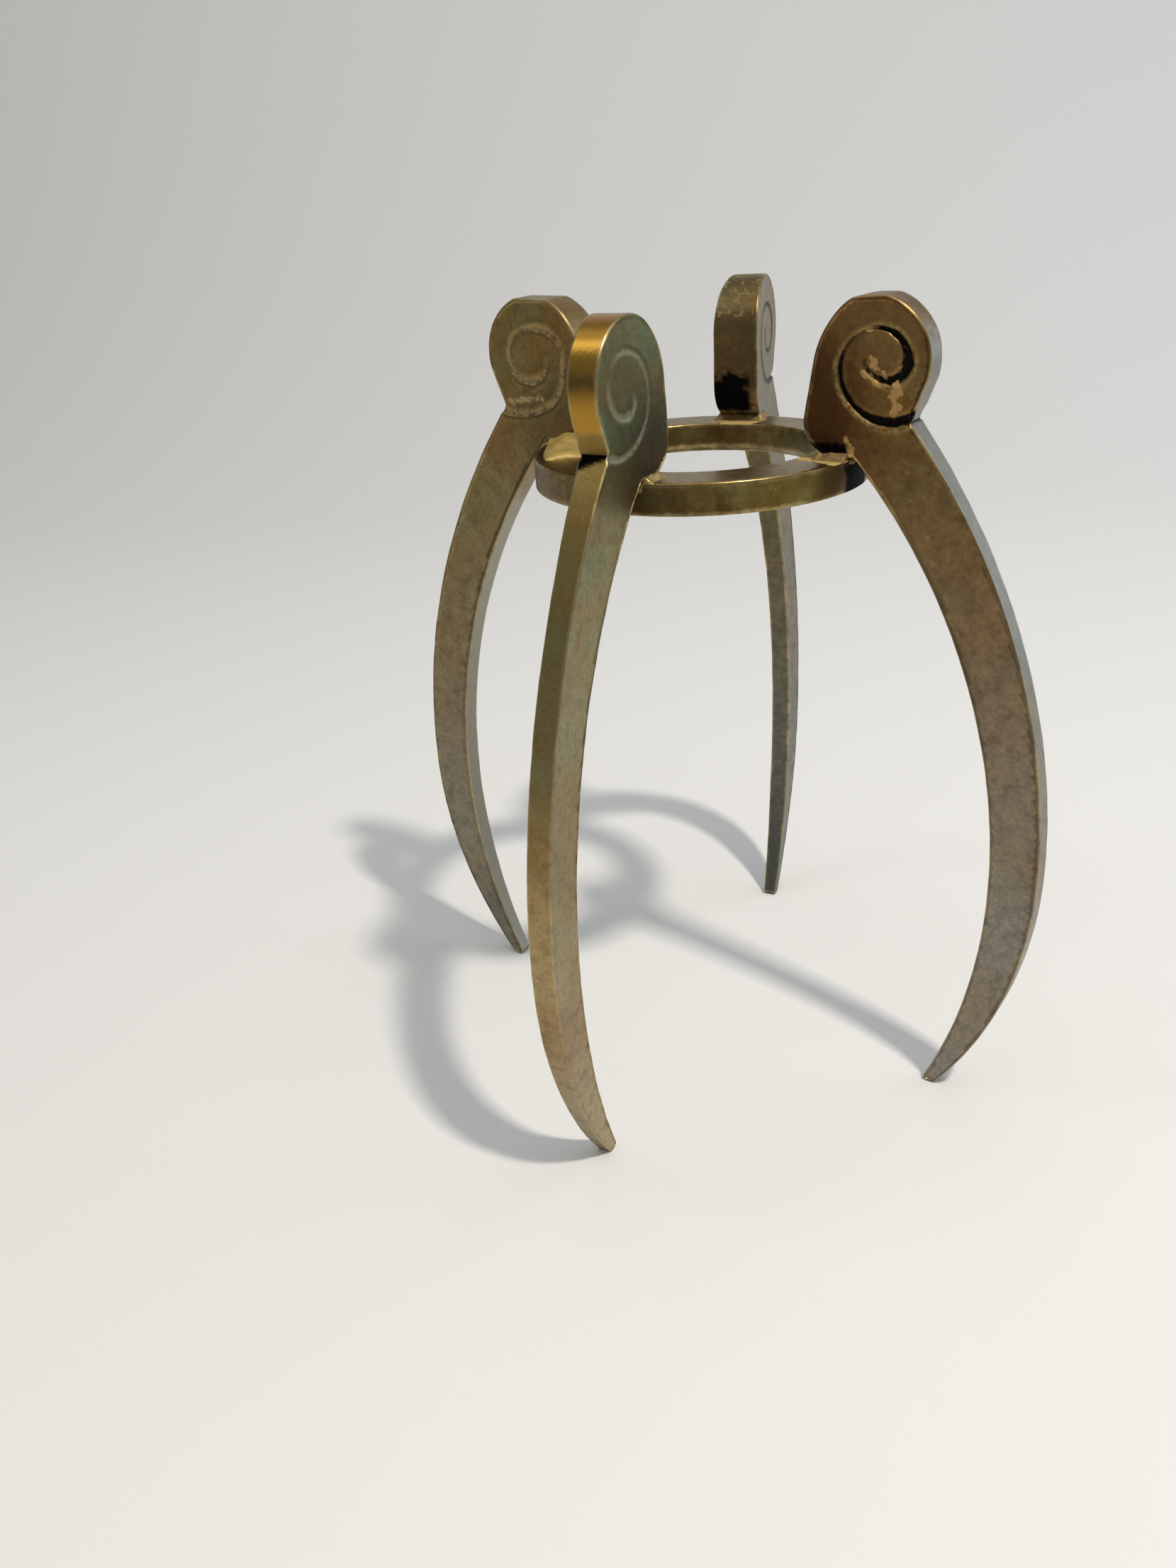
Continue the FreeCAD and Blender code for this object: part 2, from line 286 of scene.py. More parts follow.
def leg_outline(place):
    """Side view of a leg: seat, chin, scroll head, neck notch, bowed blade and foot."""
    eased = CHIN_RADIUS * (1 - math.sqrt(0.5))
    chin_foot = (CHIN_REACH + CHIN_RADIUS, SEAT)
    chin_top = (CHIN_REACH, SEAT + CHIN_RADIUS)
    head_side = from_head(180, HEAD_RADIUS)
    facet = from_head(FACET_ANGLE, HEAD_RADIUS)
    points = line(SEAT_END, chin_foot, SEAT_STEP)
    points += arc(chin_foot, (CHIN_REACH + eased, SEAT + eased), chin_top, HEAD_STEP)
    points += line(chin_top, head_side, SEAT_STEP)
    points += arc(head_side, from_head(90, HEAD_RADIUS), facet, HEAD_STEP)
    points += line(facet, NECK, NOTCH_STEP)
    points += bow(NECK, OUTER_CROWN, SHOULDER_STEP)
    down = bow(TOE, OUTER_CROWN, BLADE_STEP)
    points += [complex(*OUTER_CROWN)] + down[:0:-1]
    points += line(TOE, HEEL, FOOT_STEP)
    points += arc(HEEL, INNER_CROWN, SEAT_END, BLADE_STEP)
    points = rounded(points, HEEL, TOE_RADIUS)
    points = rounded(points, TOE, TOE_RADIUS)
    # the head's inner side, filed back
    for i, point in enumerate(points):
        inner = min(1, max(0, (HEAD_CENTRE[0] - point.real) / HEAD_RADIUS))
        rise = max(0, point.imag - chin_top[1])
        points[i] += HEAD_LEANS.get(place, 0) * inner * rise
    # the flat filed on its top
    if place in HEAD_FLATS:
        start, end = HEAD_FLATS[place]
        middle, half = math.radians(start + end) / 2, math.radians(end - start) / 2
        for i, point in enumerate(points):
            spoke = point - complex(*HEAD_CENTRE)
            off = abs(cmath.phase(spoke) - middle)
            if off < half and point.imag > HEAD_CENTRE[1]:
                points[i] = complex(*HEAD_CENTRE) + spoke * math.cos(half) / math.cos(off)
    return np.array([(p.real, p.imag) for p in points])


def outward(outline):
    """Mitred outward step at each point of a clockwise outline."""
    ahead = np.roll(outline, -1, 0) - outline
    ahead /= np.linalg.norm(ahead, axis=1)[:, None]
    normal = np.stack([-ahead[:, 1], ahead[:, 0]], 1)
    last = np.roll(normal, 1, 0)
    spread = 1 + (normal * last).sum(1)
    sharpest = 0.5
    return (normal + last) / np.maximum(spread, sharpest)[:, None]


def volute_line(place):
    """Middle of the engraved groove, from outside the neck notch in to the eye, at even steps."""
    left, level, lead, turns = VOLUTES[place]
    bearing = math.radians(lead - 90)
    centre = complex(HEAD_CENTRE[0] + left + turns[0][0], HEAD_CENTRE[1] + level)
    point = centre + cmath.rect(turns[0][0], bearing)
    run = []
    for turn, (radius, sweep) in enumerate(turns):
        sweep = math.radians(sweep + (lead if turn == 0 else 0))
        centre = point - cmath.rect(radius, bearing)
        count = round(sweep * radius / VOLUTE_STEP)
        run += [centre + cmath.rect(radius, bearing - sweep * i / count) for i in range(count)]
        bearing -= sweep
        point = centre + cmath.rect(radius, bearing)
    return run


def half_plate(x, z):
    """Half the leg's thickness: both faces are hollowed, and the foot tapers."""
    swell = (CHIN_PLATE - WAIST_PLATE) / 2
    span = WAIST_REACH - CHIN_REACH
    radius = (span ** 2 + swell ** 2) / (2 * swell)
    hollow = WAIST_PLATE / 2 + radius - np.sqrt(radius ** 2 - (x - WAIST_REACH) ** 2)
    taper = TOE_PLATE / 2 + (WAIST_PLATE - TOE_PLATE) / 2 * z / TOE_TAPER_HEIGHT
    return np.minimum(hollow, taper)


def ripple(x, y, z, size, seed):
    """Smooth unevenness from -1 to 1 with humps of about that size; each seed has its own."""
    return noise.noise(Vector((x / size + 17.3 * seed, y / size - 9.1 * seed, z / size + 4.7 * seed)))


def blotches(points, coarse, fine, seed):
    """Unevenness at each point from humps of two sizes, which makes the edges of marks ragged."""
    return np.array([ripple(*p, coarse, seed) + 0.6 * ripple(*p, fine, seed) for p in points])


class Groove:
    """Engraved volute of one head: how deep it is cut, and how high its burr stands, at any point."""

    def __init__(self, place, seed):
        self.run = volute_line(place)
        self.shares, self.widths, self.strengths = np.array(CUTS[place]).T
        self.depth = CUT_DEPTH[place]
        self.seed = seed
        self.tree = kdtree.KDTree(len(self.run))
        for index, point in enumerate(self.run):
            self.tree.insert((point.real, point.imag, 0), index)
        self.tree.balance()

    def gap(self, point):
        """Distance of a point from the middle of the cut."""
        return self.tree.find((point.real, point.imag, 0))[2]

    def at(self, x, z, side):
        """Shares of the cut's depth and of the burr's height at a place on one face."""
        _, step, gap = self.tree.find((x, z, 0))
        share = step / len(self.run)
        uneven = ripple(step * VOLUTE_STEP, side, 0, CUT_HUMP, self.seed)
        width = np.interp(share, self.shares, self.widths) * (1 + CUT_WIDTH_UNEVEN * uneven)
        strength = np.interp(share, self.shares, self.strengths) * (1 + CUT_STRENGTH_UNEVEN * uneven)
        step = max(step, 1)
        ahead = self.run[step] - self.run[step - 1]
        outside = (ahead.conjugate() * (complex(x, z) - self.run[step])).imag > 0
        burr = math.exp(-((gap - width - BURR_OFFSET) / BURR_WIDTH) ** 2) * (1.0 if outside else BURR_INSIDE)
        return max(0.0, 1 - (gap / width) ** 2) * strength, burr * strength


def broad_face(points, side, seed, groove):
    """Height of a broad face, and how far each of its points is in the groove or on the burr."""
    height = half_plate(points[:, 0], points[:, 1])
    cut = np.zeros(len(points))
    burr = np.zeros(len(points))
    lowest = SEAT - 4
    for i, (x, z) in enumerate(points):
        height[i] -= FACE_UNEVEN * (1 + ripple(x, side, z, FACE_HUMP, seed))
        if z > lowest:
            cut[i], burr[i] = groove.at(x, z, side)
    return height + BURR_HEIGHT * burr - groove.depth * cut, cut, burr


def inside(points, outline):
    """Which points lie inside a closed outline, and their distance to it."""
    found = np.zeros(len(points), bool)
    gap = np.full(len(points), np.inf)
    for a, b in zip(outline, np.roll(outline, -1, 0)):
        crosses = (a[1] > points[:, 1]) != (b[1] > points[:, 1])
        with np.errstate(divide="ignore", invalid="ignore"):
            reach = a[0] + (points[:, 1] - a[1]) * (b[0] - a[0]) / (b[1] - a[1])
        found ^= crosses & (points[:, 0] < reach)
        run = b - a
        share = np.clip(((points - a) @ run) / (run @ run), 0, 1)
        gap = np.minimum(gap, np.linalg.norm(points - a - share[:, None] * run, axis=1))
    return found, gap


def face_points(groove, outline):
    """Points spread over a broad face: rows along the groove, fine over the head, coarser down the blade."""
    points = []
    nearest = 0.05
    for here, ahead in list(zip(groove.run, groove.run[1:]))[::ROW_SKIP]:
        beside = 1j * (ahead - here) / abs(ahead - here)
        for offset in ROW_OFFSETS:
            row = [here + beside * offset, here - beside * offset] if offset else [here]
            points += [p for p in row if abs(groove.gap(p) - offset) < nearest]
    leg_top, leg_reach, head_foot = 150, 68, SEAT - 3
    for z in np.arange(0, leg_top, HEAD_PITCH):
        on_head = z > head_foot
        level = round(z / HEAD_PITCH)
        if on_head or level % 2:
            pitch = HEAD_PITCH if on_head else BLADE_PITCH
            shift = pitch / 2 * (level // 2 % 2)
            row = [complex(x + shift, z) for x in np.arange(CHIN_REACH, leg_reach, pitch)]
            points += [p for p in row if groove.gap(p) > ROW_OFFSETS[-1] + POINT_GAP]
    points = np.array([(p.real, p.imag) for p in points])
    found, gap = inside(points, outline)
    keep = found & (gap > EDGE_ROUND * 1.5 + POINT_GAP)
    return points[keep], gap[keep]


def new_piece(name, angle, points, faces, material, marks):
    """A smooth mesh in metres, turned to its place round the ring.

    Its points keep where they are on the piece itself, in millimetres, and each mark's value.
    """
    points = np.array(points, np.float32)
    turn = Matrix.Rotation(math.radians(angle), 3, "Z")
    mesh = bpy.data.meshes.new(name)
    mesh.from_pydata([turn @ Vector(p) * MM for p in points], [], faces)
    mesh.attributes.new("own", "FLOAT_VECTOR", "POINT").data.foreach_set("vector", points.ravel())
    for mark, values in marks.items():
        mesh.attributes.new(mark, "FLOAT", "POINT").data.foreach_set("value", np.asarray(values, np.float32))
    mesh.polygons.foreach_set("use_smooth", np.ones(len(mesh.polygons), bool))
    mesh.materials.append(material)
    piece = bpy.data.objects.new(name, mesh)
    bpy.context.scene.collection.objects.link(piece)
    return piece


def face_triangles(rim, points):
    """Triangles of a broad face, over its rim's points first and then the face's own."""
    flat = [Vector(p) for p in np.concatenate([rim, points])]
    edges = [(i, (i + 1) % len(rim)) for i in range(len(rim))]
    _, _, triangles, source, _, _ = delaunay_2d_cdt(flat, edges, [], 1, 1e-6)
    return [[source[i][0] for i in triangle] for triangle in triangles]


def smooth(values, start, end):
    """Eased share of the way from a start, where it is 0, to an end, where it is 1."""
    share = np.clip((values - start) / (end - start), 0, 1)
    return share * share * (3 - 2 * share)


def from_run(x, z, start, end):
    """Distance of each point from a straight run in the side view."""
    run = np.subtract(end, start)
    share = np.clip(((x - start[0]) * run[0] + (z - start[1]) * run[1]) / (run @ run), 0, 1)
    return np.hypot(x - start[0] - share * run[0], z - start[1] - share * run[1])


def front_marks(x, y, z, runs, rough, marks):
    """Front leg: painted reflection and painted shade in bands round the head's outer edge, a painted golden
    sheen down the outside, and a painted shade spot where the chin meets the ring.
    """
    bearing = np.degrees(np.arctan2(z - HEAD_CENTRE[1], x - HEAD_CENTRE[0])) + 2 * rough
    outer = (runs != 0) * (z > NECK[1] - 0.2) * (x > CHIN_REACH + CHIN_RADIUS)
    # painted golden sheen down the outer narrow face, stronger towards the top
    outer_sheen = (runs > 0) * (z < NECK[1]) * (0.2 + 0.2 * smooth(z + 4 * rough, 96, 118)) * smooth(z, 20, 60)
    marks["polish_and_reflection"] = np.maximum(outer * np.interp(bearing, *zip(*FRONT_REFLECTION_BANDS)), outer_sheen)
    marks["heat_tint_and_shade"] = np.maximum(1.4 * marks["heat_tint_and_shade"], outer * np.interp(bearing, *zip(*FRONT_SHADE_BANDS)))
    # painted shade in the crease at the chin's foot
    crease_gap = np.hypot(x - FRONT_CREASE_SHADE[0], z - FRONT_CREASE_SHADE[1]) + 0.2 * rough
    marks["soot_and_shade"] = np.maximum(marks["soot_and_shade"], (y > 0) * smooth(crease_gap, 0.6, 0.3))


def right_marks(x, y, z, runs, rough, marks):
    """Right leg: painted shade at the chin's foot, a drip of flux at the seat, flakes of flux on the head, a
    heat tint deepened by painted shade, and a painted blue-grey reflection down the outside.
    """
    facing = y < 0
    # painted shade where the chin's foot meets the ring, on the facing side
    low = smooth(z + 0.5 * rough, SEAT + 2.7, SEAT + 2.1)
    on_ring = smooth(x + 0.5 * rough, RING_OUTER_RADIUS, RING_OUTER_RADIUS - 0.8)
    darkened = low * on_ring * (x > CHIN_REACH + 0.8)
    marks["soot_and_shade"] = np.maximum(marks["soot_and_shade"], facing * darkened)
    crust = [0.6 * smooth(from_run(x, z, *RIGHT_DRIP) + 0.4 * rough, 0.9, 0.4)]
    for start, end, wide in FLAKES:
        crust.append(0.7 * smooth(from_run(x, z, start, end) + 0.7 * rough, wide + 0.15, wide - 0.2))
    marks["crust"] = facing * np.maximum.reduce(crust)
    # heat tint on the facing side of the head, made darker as painted shade
    out, up = x - RIGHT_HEAT_AND_SHADE_CENTRE[0], z - RIGHT_HEAT_AND_SHADE_CENTRE[1]
    heat_and_shade = 0.85 * facing * smooth(np.hypot(out / 1.2, up / 1.7) + 1.2 * rough, 10.5, 4.5)
    marks["heat_tint_and_shade"] = np.maximum(marks["heat_tint_and_shade"] * smooth(z, 106, 122), heat_and_shade)
    # painted blue-grey reflection down the outer narrow face
    marks["polish_and_reflection"] = 0.5 * (runs > 0) * smooth(z + 3 * rough, 144, 140) * smooth(z + 6 * rough, 45, 95)


def back_marks(x, y, z, runs, rough, marks):
    """Back leg: soot and flux up the head's inner side, flux on its crown, dull polish on the faces."""
    inner = smooth(x, CHIN_REACH + 3.5, CHIN_REACH + 1.5)
    soot_top = SEAT + 8.6 + 0.8 * np.sin(y * 1.4) + 0.9 * rough
    darkened = inner * smooth(z, soot_top + 0.2, soot_top - 0.2)
    darkened = darkened * smooth(z + 0.5 * rough, SEAT + 1.4, SEAT + 1.9) * smooth(y + 0.5 * rough, -2.8, -2.3)
    marks["soot_and_shade"] = np.maximum(marks["soot_and_shade"], darkened)
    seat_flux = smooth(z + rough, SEAT + 2.6, SEAT + 1.6)
    specks = 0.5 * smooth(rough, 0.05, 0.4) * smooth(z, SEAT + 14, SEAT + 9)
    crown_flux = 0.5 * (runs != 0) * smooth(rough, -0.2, 0.3) * smooth(z, SEAT + 16.5, SEAT + 20)
    marks["crust"] = np.maximum(inner * np.maximum(seat_flux, specks), crown_flux)
    marks["polish_and_reflection"] = 0.45 * (runs == 0) * smooth(z + 6 * rough, 80, 128)


def left_marks(x, y, z, runs, rough, marks):
    """Left leg: a smear of flux across the head's lower part, and a painted blue-grey reflection on the
    inside.
    """
    smear = from_run(x, z, *LEFT_SMEAR) + 0.7 * rough
    marks["crust"] = (y > 0) * 0.5 * smooth(smear, 1.2, 0.3)
    # painted blue-grey reflection on the inner narrow face below the head
    marks["polish_and_reflection"] = 0.7 * (runs < 0) * smooth(z + 3 * rough, 116, 104)


OWN_MARKS = {"front": front_marks, "right": right_marks, "back": back_marks, "left": left_marks}


def leg_marks(place, points, runs, seed):
    """Where one leg is polished bright or shows a painted reflection, is black with soot or painted shadow,
    is crusted with flux, or is flushed by soldering and darkened by painted shade.

    Runs is 1 on the narrow face round the outside, -1 on the inside one and 0 on the broad faces. Numbers
    that start and end a mark are levels, or distances from its middle, in millimetres.
    """
    x, y, z = np.array(points).T
    rough = blotches(points, 1.3, 0.5, seed)
    joint = np.hypot((x - FLUSH_CENTRE[0]) / 1.1, z - FLUSH_CENTRE[1]) + 2 * rough
    below = NECK[1] - z
    notch = (runs > 0) * (x > NECK[0] - 1) * (below > -0.3)
    # painted shadow under the neck notch, cast by the head's overhang; on the front leg it reaches deeper
    # towards one edge
    reach = 2.7 * np.clip(0.55 - y / 7.5, 0, 1) if place == "front" else 0.5
    marks = {
        "polish_and_reflection": np.zeros(len(x)),
        "soot_and_shade": notch * smooth(below + 0.25 * rough, reach, reach - 0.5),
        "crust": np.zeros(len(x)),
        "heat_tint_and_shade": 0.5 * smooth(joint, 15, 4),
    }
    OWN_MARKS[place](x, y, z, runs, rough, marks)
    return marks


def make_leg(place, material):
    """One leg: narrow faces, worn edges as rounded bands, and two broad faces with the engraved volute."""
    seed = 1 + list(LEG_ANGLES).index(place)
    groove = Groove(place, seed)
    drawn = leg_outline(place)
    step_out = outward(drawn)
    count = len(drawn)
    own_points, own_gaps = face_points(groove, drawn)
    triangles = face_triangles(drawn - step_out * EDGE_ROUND, own_points)
    uneven = np.array([ripple(x, 0, z, OUTLINE_HUMP, seed) for x, z in drawn])
    worn = np.array([ripple(x, 2, z, EDGE_HUMP, seed) for x, z in drawn])
    edge_round = EDGE_ROUND * (1 + EDGE_UNEVEN * worn)
    outline = drawn - step_out * (OUTLINE_UNEVEN * (1 + uneven))[:, None]
    half = np.minimum(*[broad_face(outline, side, seed, groove)[0] for side in (-1, 1)])
    points, rub, faces = [], [], []
    across = np.sin(np.linspace(-math.pi / 2, math.pi / 2, NARROW_STEPS + 1))
    for i in range(count):
        wide = half[i] - edge_round[i]
        points += [(outline[i][0], wide * share, outline[i][1]) for share in across]
        rub += [math.exp(-wide * (1 - abs(share)) / NARROW_RUB) for share in across]
    narrow = len(points)
    cut = [0.0] * narrow
    burr = [0.0] * narrow
    row = NARROW_STEPS + 1
    for i in range(count):
        j = (i + 1) % count
        faces += [(i * row + k, i * row + k + 1, j * row + k + 1, j * row + k) for k in range(NARROW_STEPS)]
    for side in (-1, 1):
        last = [i * row + (0 if side < 0 else NARROW_STEPS) for i in range(count)]
        for step in range(1, EDGE_STEPS + 1):
            turn = math.pi / 2 * step / EDGE_STEPS
            rim = outline - step_out * (edge_round * (1 - math.cos(turn)))[:, None]
            height, deep, lip = broad_face(rim, side, seed, groove)
            height = height - edge_round * (1 - math.sin(turn))
            first = len(points)
            points += [(x, side * y, z) for (x, z), y in zip(rim, height)]
            rub += [1.0] * count
            cut += list(deep)
            burr += list(lip)
            for i in range(count):
                j = (i + 1) % count
                band = (last[i], first + i, first + j, last[j])
                faces.append(band if side > 0 else band[::-1])
            last = [first + i for i in range(count)]
        height, deep, lip = broad_face(own_points, side, seed, groove)
        first = len(points)
        points += [(x, side * y, z) for (x, z), y in zip(own_points, height)]
        rub += list(np.exp(-(own_gaps - EDGE_ROUND) / BROAD_RUB))
        cut += list(deep)
        burr += list(lip)
        for triangle in triangles:
            corners = [last[i] if i < count else first + i - count for i in triangle]
            faces.append(corners if side < 0 else corners[::-1])
    runs = np.zeros(len(points))
    runs[:narrow] = np.repeat(np.where(step_out[:, 0] > 0, 1, -1), row)
    marks = {"rub": rub, "cut": cut, "burr": burr, **leg_marks(place, points, runs, seed)}
    return new_piece("aged_leg_" + place, LEG_ANGLES[place], points, faces, material, marks)


def ring_marks(points):
    """Where the ring is rubbed bright, crusted with flux or flushed by soldering; with painted shadow on its
    outer wall by the right leg and painted shade on its top beside the left leg's solder run.
    """
    x, y, z = np.array(points).T
    rough = blotches(points, 2.0, 0.7, RING_SEED)
    reach = np.hypot(x, y)
    bearing = np.arctan2(y, x)
    on_top = smooth(z, RING_TOP - 0.4, RING_TOP - 0.1)
    outside = smooth(reach, RING_OUTER_RADIUS - 1.0, RING_OUTER_RADIUS - 0.4)
    ragged = np.degrees(bearing) + 6 * rough
    handled = 0.2 * outside * smooth(ragged, 30, 50) * smooth(ragged, 82, 68)
    marks = {
        "polish_and_reflection": np.maximum(on_top * (0.5 + 0.25 * rough), handled),
        "heat_tint_and_shade": 0.2 * smooth(reach, RING_BORE_RADIUS + 1.0, RING_BORE_RADIUS + 0.4),
        "crust": np.zeros(len(x)),
    }
    for place, angle in LEG_ANGLES.items():
        turn = bearing - math.radians(angle)
        along = RING_MIDDLE_RADIUS * np.arctan2(np.sin(turn), np.cos(turn))
        away = np.abs(along) - SEAT_HALF
        heated = (0.5 - 0.3 * on_top) * smooth(away + 2 * rough, 8, 0)
        marks["heat_tint_and_shade"] = np.maximum(marks["heat_tint_and_shade"], heated)
        film = 0.8 * on_top * smooth(away + 2.5 * rough, FILM_REACH[place], FILM_REACH[place] - FILM_FADE)
        if place == "right":
            # painted shadow of the right leg on the ring's outer wall beside it
            marks["soot_and_shade"] = outside * (1 - on_top) * smooth(away + 1.2 * rough, 0.2, -0.9)
        if place == "left":
            # painted shade on the ring's top beside and under the solder that ran along it, with no film and
            # no rubbed brightness there
            beside = along - SEAT_HALF
            margin = smooth(beside, -0.5, 0.5) * smooth(beside + 2 * rough, SOLDER_RUN + 4, SOLDER_RUN)
            margin = 0.9 * on_top * margin
            marks["heat_tint_and_shade"] = np.maximum(marks["heat_tint_and_shade"], margin)
            marks["polish_and_reflection"] = marks["polish_and_reflection"] * (1 - margin)
            film = np.where(margin > 0, 0, film)
        marks["crust"] = np.maximum(marks["crust"], film)
    return marks


def swept_faces(rows, size, closed=False):
    """Faces of a closed section swept through rows, back to the first row or with a cap at each end."""
    faces = []
    for i in range(rows if closed else rows - 1):
        j = (i + 1) % rows
        for k in range(size):
            n = (k + 1) % size
            faces.append([i * size + k, i * size + n, j * size + n, j * size + k])
    if not closed:
        faces.append(list(range(size))[::-1])
        faces.append([(rows - 1) * size + k for k in range(size)])
    return faces


def make_ring(material):
    """The turned ring, its edges eased by wear."""
    lower = RING_TOP - RING_HEIGHT
    corners = [
        (complex(RING_BORE_RADIUS, RING_TOP), RING_RIM_ROUND),
        (complex(RING_OUTER_RADIUS, RING_TOP), RING_EDGE_ROUND),
        (complex(RING_OUTER_RADIUS, lower), RING_RIM_ROUND),
        (complex(RING_BORE_RADIUS + RING_LOWER_BEVEL, lower), RING_BEVEL_ROUND),
        (complex(RING_BORE_RADIUS, lower + RING_LOWER_BEVEL), RING_BEVEL_ROUND),
    ]
    edge_step, face_step, rub_reach = 0.12, 0.7, 0.5
    section, worn = [], []
    for i, (here, radius) in enumerate(corners):
        following, next_radius = corners[(i + 1) % len(corners)]
        eased, _ = eased_corner(corners[i - 1][0], here, following, radius, edge_step)
        section += eased
        worn += [1.0] * len(eased)
        after = (following - here) / abs(following - here)
        gap = abs(following - eased[-1]) - next_radius
        count = max(2, round(gap / face_step))
        section += [eased[-1] + after * gap * k / count for k in range(1, count)]
        worn += [math.exp(-min(k, count - k) * gap / count / rub_reach) for k in range(1, count)]
    points = []
    for i in range(RING_STEPS):
        turn = 2 * math.pi * i / RING_STEPS
        x, y = RING_OUTER_RADIUS * math.cos(turn), RING_OUTER_RADIUS * math.sin(turn)
        for p in section:
            low = RING_UNEVEN * (1 + ripple(x, y, p.imag, RING_HUMP, RING_SEED))
            reach = p.real - low if p.real > RING_MIDDLE_RADIUS else p.real + low
            points.append((reach * math.cos(turn), reach * math.sin(turn), p.imag))
    faces = swept_faces(RING_STEPS, len(section), closed=True)
    marks = {"rub": worn * RING_STEPS, **ring_marks(points)}
    return new_piece("aged_ring", 0, points, faces, material, marks)


def solder_bead(place, seed):
    """Points and faces of the crinkled fillet on the ring round a seat."""
    widest, highest, _ = SOLDER_BEADS[place]
    nose = CHIN_REACH + CHIN_RADIUS / 2
    outer = RING_OUTER_RADIUS - SOLDER_INSET
    slack = 0.01
    xs = np.arange(nose - SOLDER_NOSE, outer + slack, SOLDER_STEP)
    ys = np.arange(-SOLDER_SIDE, SOLDER_SIDE + slack, SOLDER_STEP)
    top = {}
    for i, x in enumerate(xs):
        for j, y in enumerate(ys):
            beside = max(0.0, abs(y) - float(half_plate(x, SEAT)))
            gap = math.hypot(beside, max(0.0, nose - x))
            bead = widest * (1 + 0.35 * ripple(x, y, 0, 2.2, seed))
            rise = highest * (1 + 0.3 * ripple(x, y, 5, 1.6, seed))
            crinkled = 1 + 0.2 * ripple(x, y, 9, 0.8, seed)
            share = max(0.0, 1 - gap / bead)
            if share:
                top[i, j] = max(SOLDER_LEAST, rise * share ** SOLDER_HOLLOW * crinkled)
    points, index, faces = [], {}, []

    def vertex(i, j, upper):
        if (i, j, upper) not in index:
            index[i, j, upper] = len(points)
            lift = top.get((i, j), -SOLDER_FEATHER) if upper else -SOLDER_SUNK
            points.append((xs[i], ys[j], RING_TOP + lift))
        return index[i, j, upper]

    cells = {(i, j) for i in range(len(xs) - 1) for j in range(len(ys) - 1)
             if any((i + a, j + b) in top for a in (0, 1) for b in (0, 1))}
    for i, j in sorted(cells):
        loop = [(i, j), (i + 1, j), (i + 1, j + 1), (i, j + 1)]
        faces.append([vertex(a, b, True) for a, b in loop])
        faces.append([vertex(a, b, False) for a, b in loop[::-1]])
        beyond = [(i, j - 1), (i + 1, j), (i, j + 1), (i - 1, j)]
        for k in range(4):
            if beyond[k] not in cells:
                here, there = loop[k], loop[(k + 1) % 4]
                wall = [(here, True), (here, False), (there, False), (there, True)]
                faces.append([vertex(*corner, upper) for corner, upper in wall])
    return points, faces


def solder_web(place, seed):
    """Points and faces of the solder that hangs under the leg's overhang, outside the ring."""
    hang = SOLDER_BEADS[place][2]
    half = half_plate(RING_OUTER_RADIUS + 2, SEAT) - WEB_INSET
    top_corners = (WEB_PROFILE[-1][0], -WEB_ROOT)
    points = []
    for y in np.linspace(-half, half, WEB_ROWS):
        drop = hang * (1 - 0.25 * abs(y / half) ** 3) * (1 + 0.15 * ripple(0, y, 2, 1.5, seed))
        points += [(RING_OUTER_RADIUS + out, y, RING_TOP - drop * share) for out, share in WEB_PROFILE]
        points += [(RING_OUTER_RADIUS + out, y, SEAT - WEB_HEAD) for out in top_corners]
    return points, swept_faces(WEB_ROWS, len(points) // WEB_ROWS)


def solder_mound(seed):
    """Points and faces of the solder that ran along the ring: a low mound with a rounded end."""
    length = SOLDER_RUN + half_plate(SOLDER_RUN_RIM, SEAT)
    points = []
    for i in range(SOLDER_RUN_ROWS + 1):
        along = i / SOLDER_RUN_ROWS
        turn = length / SOLDER_RUN_RIM * along
        for j in range(SOLDER_RUN_COLUMNS + 1):
            side = math.sin(math.pi * (j / SOLDER_RUN_COLUMNS - 0.5))
            reach = SOLDER_RUN_RIM + SOLDER_RUN_HALF * side
            x, y = reach * math.cos(turn), reach * math.sin(turn)
            crinkled = 1 + 0.3 * ripple(x, y, 7, 3.0, seed) + 0.1 * ripple(x, y, 3, 1.2, seed)
            lift = SOLDER_RUN_RISE * math.sqrt((1 - side ** 2) * (1 - along ** 4)) * crinkled
            points.append((x, y, RING_TOP - SOLDER_RUN_SUNK + lift))
        for reach in (SOLDER_RUN_RIM + SOLDER_RUN_HALF, SOLDER_RUN_RIM - SOLDER_RUN_HALF):
            points.append((reach * math.cos(turn), reach * math.sin(turn), RING_TOP - SOLDER_SUNK))
    return points, swept_faces(SOLDER_RUN_ROWS + 1, len(points) // (SOLDER_RUN_ROWS + 1))


def make_solder(place, material):
    """Solder run round a seat: a bead, a web under the overhang, and a mound beside the left leg."""
    seed = 11 + list(LEG_ANGLES).index(place)
    runs = [solder_bead(place, seed), solder_web(place, seed)]
    if place == "left":
        runs.append(solder_mound(seed))
    points, faces = [], []
    for own_points, own_faces in runs:
        first = len(points)
        points += own_points
        faces += [[first + k for k in face] for face in own_faces]
    return new_piece("run_solder_" + place, LEG_ANGLES[place], points, faces, material, {})


def linear(code):
    """Linear colour of an sRGB hex value."""
    channels = [int(code[i:i + 2], 16) / 255 for i in (1, 3, 5)]
    return tuple(c / 12.92 if c <= 0.04045 else ((c + 0.055) / 1.055) ** 2.4 for c in channels) + (1.0,)


